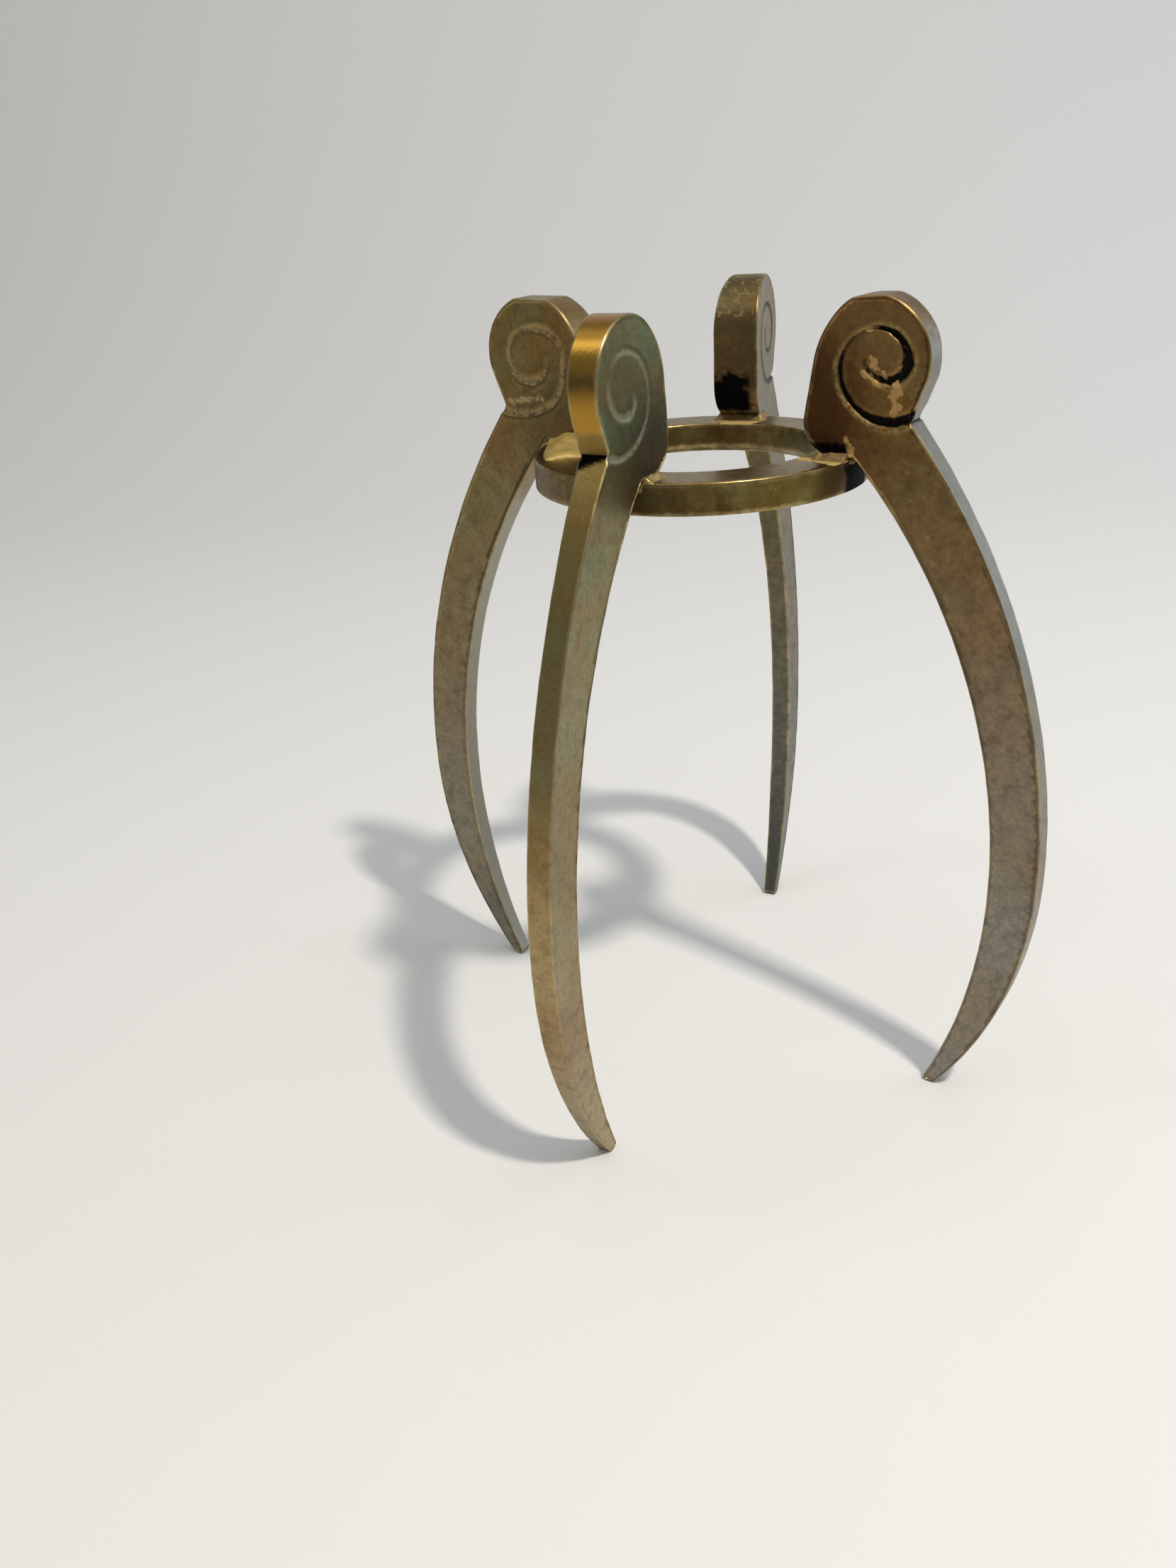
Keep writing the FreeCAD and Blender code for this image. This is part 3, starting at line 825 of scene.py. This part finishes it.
def add(tree, kind, inputs=None, **settings):
    """Adds a node; an input is a value, or the socket that feeds it.

    A MapRange takes its values from the span of inputs 1 and 2 to the span of 3 and 4. A Mix of colours goes
    from input 6 to input 7 by the share in input 0.
    """
    made = tree.nodes.new("ShaderNode" + kind)
    for name, value in settings.items():
        setattr(made, name, value)
    for socket, value in (inputs or {}).items():
        if isinstance(value, bpy.types.NodeSocket):
            tree.links.new(value, made.inputs[socket])
        else:
            made.inputs[socket].default_value = value
    return made.outputs


def aged_brass(name, seed, stroke, brown, olive, floor_reflection, polish_and_reflection_tint, crust,
               groove="#0d0b06", shown=0.0, solid=0.4, lip=0.0):
    """Cast and filed brass, long handled: satin under a thin brown tarnish with olive clouds, paler and
    greyer towards the foot as a painted reflection of the floor, rubbed bare in places along its edges.

    Shown is how much of the groove's fill shows: dust in most grooves and painted shade where the fill is
    black. Solid is how little of it is torn, and lip how much of its burr shows.
    """
    material = bpy.data.materials.new(name)
    material.use_nodes = True
    tree = material.node_tree
    shader = tree.nodes["Principled BSDF"]
    own = add(tree, "Attribute", attribute_name="own")["Vector"]
    place = add(tree, "Mapping", {0: own, 1: (31.0 * seed, 17.0 * seed, 53.0 * seed)})[0]
    names = ("rub", "cut", "burr", "polish_and_reflection", "soot_and_shade", "crust", "heat_tint_and_shade")
    mark = {m: add(tree, "Attribute", attribute_name=m)["Fac"] for m in names}
    # broad tarnish clouds, smaller patches, mottle from handling, scuffs and grain
    clouds = add(tree, "TexNoise", {"Vector": place, "Scale": 1 / CLOUD_SIZE, "Detail": 2.0})[0]
    patches = add(tree, "TexNoise", {"Vector": place, "Scale": 1 / PATCH_SIZE, "Detail": 4.0,
                                     "Distortion": 0.5})[0]
    mottle = add(tree, "TexNoise", {"Vector": place, "Scale": 1 / MOTTLE_SIZE, "Detail": 6.0,
                                    "Roughness": 0.65})[0]
    scuffs = add(tree, "TexNoise", {"Vector": place, "Scale": 1 / SCUFF_SIZE, "Detail": 9.0,
                                    "Roughness": 0.75})[0]
    grain = add(tree, "TexNoise", {"Vector": place, "Scale": 1 / GRAIN_SIZE, "Detail": 3.0})[0]
    patch = add(tree, "MapRange", {0: patches, 1: 0.36, 2: 0.64})[0]
    warm = add(tree, "MapRange", {0: clouds, 1: 0.5, 2: 0.68, 3: 0.0, 4: 0.6})[0]
    dark = add(tree, "MapRange", {0: mottle, 1: 0.48, 2: 0.74, 3: 0.0, 4: 0.42})[0]
    pale = add(tree, "MapRange", {0: mottle, 1: 0.5, 2: 0.28, 3: 0.0, 4: 0.32})[0]
    scuff = add(tree, "MapRange", {0: scuffs, 1: 0.6, 2: 0.68, 3: 0.0, 4: 0.4})[0]
    fleck = add(tree, "MapRange", {0: grain, 1: 0.35, 2: 0.7, 3: 0.0, 4: 0.28})[0]
    # edges rubbed bare, raggedly, more where the clouds are thin
    bare = add(tree, "MapRange", {0: clouds, 1: 0.58, 2: 0.42, 3: 0.55, 4: 1.0})[0]
    ragged = add(tree, "MapRange", {0: mottle, 1: 0.3, 2: 0.65, 3: 1.15, 4: 0.5})[0]
    rubbed = add(tree, "Math", {0: mark["rub"], 1: ragged}, operation="MULTIPLY")[0]
    edge = add(tree, "MapRange", {0: rubbed, 1: 0.35, 2: 1.05, 3: 0.0, 4: 0.7})[0]
    worn = add(tree, "Math", {0: edge, 1: bare}, operation="MULTIPLY")[0]
    heat_and_shade = add(tree, "Math", {0: mark["heat_tint_and_shade"], 1: 0.85}, operation="MULTIPLY")[0]
    # burr of the groove, its fill of dust and, where the fill is black, painted shade, and flux, all broken
    # up by the grain
    crumb = add(tree, "MapRange", {0: grain, 1: 0.35, 2: 0.6, 3: 0.2 * lip, 4: 1.2 * lip})[0]
    lips = add(tree, "Math", {0: mark["burr"], 1: crumb}, operation="MULTIPLY")[0]
    torn = add(tree, "MapRange", {0: grain, 1: 0.35, 2: 0.65, 3: solid, 4: 1.3})[0]
    filled = add(tree, "Math", {0: mark["cut"], 1: torn}, operation="MULTIPLY")[0]
    groove_dust_and_shade = add(tree, "MapRange", {0: filled, 1: 0.12, 2: 0.45, 3: 0.0, 4: shown})[0]
    broken = add(tree, "Math", {0: grain, 1: 0.9, 2: mark["crust"]}, operation="MULTIPLY_ADD")[0]
    flaked = add(tree, "MapRange", {0: broken, 1: 0.8, 2: 1.0})[0]
    # painted reflection of the floor: paler down the leg, by height in millimetres
    height = add(tree, "SeparateXYZ", {0: own})[2]
    uneven = add(tree, "Math", {0: patches, 1: 24.0, 2: height}, operation="MULTIPLY_ADD")[0]
    low = add(tree, "MapRange", {0: uneven, 1: 138.0, 2: 50.0, 3: 0.0, 4: 0.85})[0]
    toe = add(tree, "MapRange", {0: uneven, 1: 54.0, 2: 22.0, 3: 0.0, 4: 0.7})[0]
    colour = add(tree, "Mix", {0: patch, 6: linear(brown), 7: linear(olive)}, data_type="RGBA")[2]
    # the polish mark also carries painted reflections and sheen, the soot mark painted shadow and shade, and
    # the heat tint painted shade
    for share, tint in (
        (low, floor_reflection), (warm, "#8c6c45"), (toe, floor_reflection), (dark, "#463820"), (pale, "#97835a"),
        (scuff, "#b3a27c"), (heat_and_shade, "#3b1a10"), (fleck, "#42331b"), (mark["polish_and_reflection"], polish_and_reflection_tint),
        (worn, "#bfa877"), (lips, "#a08a52"), (groove_dust_and_shade, groove), (flaked, crust), (mark["soot_and_shade"], "#050403"),
    ):
        colour = add(tree, "Mix", {0: share, 6: colour, 7: linear(tint)}, data_type="RGBA")[2]
    tree.links.new(colour, shader.inputs["Base Color"])
    satin = add(tree, "MapRange", {0: mottle, 1: 0.3, 2: 0.7, 3: 0.32, 4: 0.46})[0]
    metal = add(tree, "MapRange", {0: dark, 1: 0.0, 2: 1.0, 3: 0.95, 4: 0.8})[0]
    for share, rough, metallic in (
        (worn, 0.28, 1.0), (mark["polish_and_reflection"], 0.24, 1.0), (lips, 0.6, 0.6), (groove_dust_and_shade, 0.7, 0.7),
        (flaked, 0.85, 0.0), (mark["soot_and_shade"], 0.8, 0.9),
    ):
        satin = add(tree, "MapRange", {0: share, 3: satin, 4: rough})[0]
        metal = add(tree, "MapRange", {0: share, 3: metal, 4: metallic})[0]
    tree.links.new(satin, shader.inputs["Roughness"])
    tree.links.new(metal, shader.inputs["Metallic"])
    drawn = add(tree, "Mapping", {0: place, 3: tuple(1 / size for size in stroke)})[0]
    strokes = add(tree, "TexNoise", {"Vector": drawn, "Scale": 1.0, "Detail": 2.0})[0]
    relief = add(tree, "Math", {0: strokes, 1: grain}, operation="ADD")[0]
    crumbs = add(tree, "Math", {0: flaked, 1: mottle, 2: relief}, operation="MULTIPLY_ADD")[0]
    bump = add(tree, "Bump", {"Strength": 0.3, "Distance": 0.06 * MM, "Height": crumbs})[0]
    tree.links.new(bump, shader.inputs["Normal"])
    return material


def run_solder(name, flux_tint, least):
    """Soft solder, left as it froze: grey-gold, crinkled and shiny, with dull burnt flux on part of it."""
    material = bpy.data.materials.new(name)
    material.use_nodes = True
    tree = material.node_tree
    shader = tree.nodes["Principled BSDF"]
    crinkle_size, stain_size = 0.7, 2.5
    place = add(tree, "Attribute", attribute_name="own")["Vector"]
    crinkle = add(tree, "TexNoise", {"Vector": place, "Scale": 1 / crinkle_size, "Detail": 4.0})[0]
    stain = add(tree, "TexNoise", {"Vector": place, "Scale": 1 / stain_size, "Detail": 3.0})[0]
    flux = add(tree, "MapRange", {0: stain, 1: 0.42, 2: 0.62, 3: least, 4: 1.0})[0]
    colour = add(tree, "Mix", {0: flux, 6: linear("#b39c5e"), 7: linear(flux_tint)}, data_type="RGBA")[2]
    tree.links.new(colour, shader.inputs["Base Color"])
    shine = add(tree, "MapRange", {0: flux, 1: 0.0, 2: 1.0, 3: 0.28, 4: 0.6})[0]
    tree.links.new(shine, shader.inputs["Roughness"])
    metal = add(tree, "MapRange", {0: flux, 1: 0.0, 2: 1.0, 3: 0.85, 4: 0.3})[0]
    tree.links.new(metal, shader.inputs["Metallic"])
    bump = add(tree, "Bump", {"Strength": 0.5, "Distance": 0.2 * MM, "Height": crinkle})[0]
    tree.links.new(bump, shader.inputs["Normal"])
    return material


def matt_paper():
    """Uncoated paper: off-white and matt, so that it shows soft shadows and no reflections."""
    material = bpy.data.materials.new("matt_paper")
    material.use_nodes = True
    shader = material.node_tree.nodes["Principled BSDF"]
    shader.inputs["Base Color"].default_value = linear("#ebe9e5")
    shader.inputs["Roughness"].default_value = 0.9
    return material


def make_stage():
    """Pale floor that sweeps up into a backdrop, so no edge shows behind the stand."""
    bearing = math.radians(FLOOR_BEARING)
    away = Vector((-math.cos(bearing), -math.sin(bearing), 0))
    beside = Vector((-away.y, away.x, 0))
    profile = [(-FLOOR_FRONT, 0.0), (0.0, 0.0), (FLOOR_BACK, 0.0)]
    for turn in np.linspace(0.1, math.pi / 2, SWEEP_STEPS):
        out, up = SWEEP_RADIUS * math.sin(turn), SWEEP_RADIUS - SWEEP_RADIUS * math.cos(turn)
        profile.append((FLOOR_BACK + out, up))
    profile.append((FLOOR_BACK + SWEEP_RADIUS, BACKDROP_HEIGHT))
    sides = (-FLOOR_HALF_WIDTH, FLOOR_HALF_WIDTH)
    points = [away * out + beside * side + Vector((0, 0, up)) for out, up in profile for side in sides]
    faces = [(2 * i, 2 * i + 1, 2 * i + 3, 2 * i + 2) for i in range(len(profile) - 1)]
    mesh = bpy.data.meshes.new("floor_sweep")
    mesh.from_pydata(points, [], faces)
    mesh.polygons.foreach_set("use_smooth", np.ones(len(faces), bool))
    mesh.materials.append(matt_paper())
    floor = bpy.data.objects.new("floor_sweep", mesh)
    bpy.context.scene.collection.objects.link(floor)


def make_lamp(name, azimuth, elevation, distance, size, watts, tint):
    """Square lamp aimed at the middle of the stand."""
    lamp = bpy.data.lights.new(name, "AREA")
    lamp.size = size
    lamp.energy = watts
    lamp.color = linear(tint)[:3]
    turn, rise = math.radians(azimuth), math.radians(elevation)
    towards = Vector((math.cos(turn) * math.cos(rise), math.sin(turn) * math.cos(rise), math.sin(rise)))
    holder = bpy.data.objects.new(name, lamp)
    holder.location = Vector((0, 0, LAMP_AIM)) + towards * distance
    holder.rotation_euler = towards.to_track_quat("Z", "Y").to_euler()
    holder.visible_camera = False
    bpy.context.scene.collection.objects.link(holder)


def make_camera():
    """Camera where the photograph was taken from: close, above the ring and looking down a little."""
    yaw, pitch, roll = CAMERA_YAW, CAMERA_PITCH, CAMERA_ROLL
    ahead = Vector((math.cos(yaw) * math.cos(pitch), math.sin(yaw) * math.cos(pitch), -math.sin(pitch)))
    right = Vector((math.sin(yaw), -math.cos(yaw), 0))
    down = ahead.cross(right)
    across = right * math.cos(roll) + down * math.sin(roll)
    below = down * math.cos(roll) - right * math.sin(roll)
    lens = bpy.data.cameras.new("camera")
    lens.lens = CAMERA_FOCAL
    lens.clip_start = CAMERA_CLIP
    camera = bpy.data.objects.new("camera", lens)
    turn = Matrix((across, -below, -ahead)).transposed()
    camera.matrix_world = Matrix.Translation(Vector(CAMERA_PLACE) * MM) @ turn.to_4x4()
    bpy.context.scene.collection.objects.link(camera)
    bpy.context.scene.camera = camera


def make_world():
    """Even, slightly cool light from all round."""
    world = bpy.data.worlds.new("room")
    world.use_nodes = True
    back = world.node_tree.nodes["Background"]
    back.inputs["Color"].default_value = linear("#c6cbd0")
    back.inputs["Strength"].default_value = ROOM_LIGHT
    bpy.context.scene.world = world


LEG_BRASS = {
    # the front's polish tint colours the painted reflection bands round its head
    "front": aged_brass("aged_brass_front", 1, BLADE_STROKE, brown="#88744a", olive="#7a8963",
                        floor_reflection="#b5a37f", polish_and_reflection_tint="#b3842c", crust="#8f7444", groove="#94947c", shown=0.7),
    # the right's polish tint is a painted blue-grey reflection
    "right": aged_brass("aged_brass_right", 2, BLADE_STROKE, brown="#8a6432", olive="#7b6239",
                        # the right's groove fill is left black: painted shade in the deep cut
                        floor_reflection="#8e8d84", polish_and_reflection_tint="#7a8580", crust="#a8824a", shown=1.0, lip=1.0),
    "back": aged_brass("aged_brass_back", 3, BLADE_STROKE, brown="#725d34", olive="#64603f",
                       floor_reflection="#6a6f6a", polish_and_reflection_tint="#685b2e", crust="#7d6a3e", groove="#4d5052", shown=0.8),
    # the left's polish tint is a painted blue-grey reflection
    "left": aged_brass("aged_brass_left", 4, BLADE_STROKE, brown="#947340", olive="#918556",
                       floor_reflection="#888678", polish_and_reflection_tint="#929388", crust="#a58b5c", groove="#b09a6c", shown=0.9,
                       solid=0.0),
}
RING_BRASS = aged_brass("aged_brass_ring", 5, TURNED_STROKE, brown="#58451b", olive="#76744a",
                        floor_reflection="#58451b", polish_and_reflection_tint="#92742e", crust="#ad9455")
BROWN_FLUX = "#6b5230"
GOLD_FLUX = "#a88c48"
SOLDER = {
    "front": run_solder("run_solder_front", BROWN_FLUX, least=0.0),
    "right": run_solder("run_solder_right", BROWN_FLUX, least=0.6),
    "back": run_solder("run_solder_back", BROWN_FLUX, least=0.6),
    "left": run_solder("run_solder_left", GOLD_FLUX, least=0.65),
}

pieces = [(make_ring(RING_BRASS), "ring", "ring_brass")]
for place in LEG_ANGLES:
    pieces.append((make_leg(place, LEG_BRASS[place]), "leg_" + place, "leg_brass"))
    pieces.append((make_solder(place, SOLDER[place]), "solder_" + place, "solder"))
bpy.context.view_layer.update()
for piece, node, finish in pieces:
    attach(piece, "root")
    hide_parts(node)

make_stage()
make_camera()
make_world()
make_lamp("key", azimuth=66, elevation=60, distance=0.9, size=0.05, watts=5.0, tint="#fff8ee")
make_lamp("window", azimuth=132, elevation=20, distance=1.0, size=0.9, watts=3.0, tint="#dcebff")
make_lamp("ceiling", azimuth=24, elevation=84, distance=1.1, size=1.3, watts=3.2, tint="#ffffff")
make_lamp("fill", azimuth=-60, elevation=57, distance=1.1, size=0.26, watts=0.5, tint="#ffffff")
bpy.context.scene.view_settings.view_transform = "Standard"
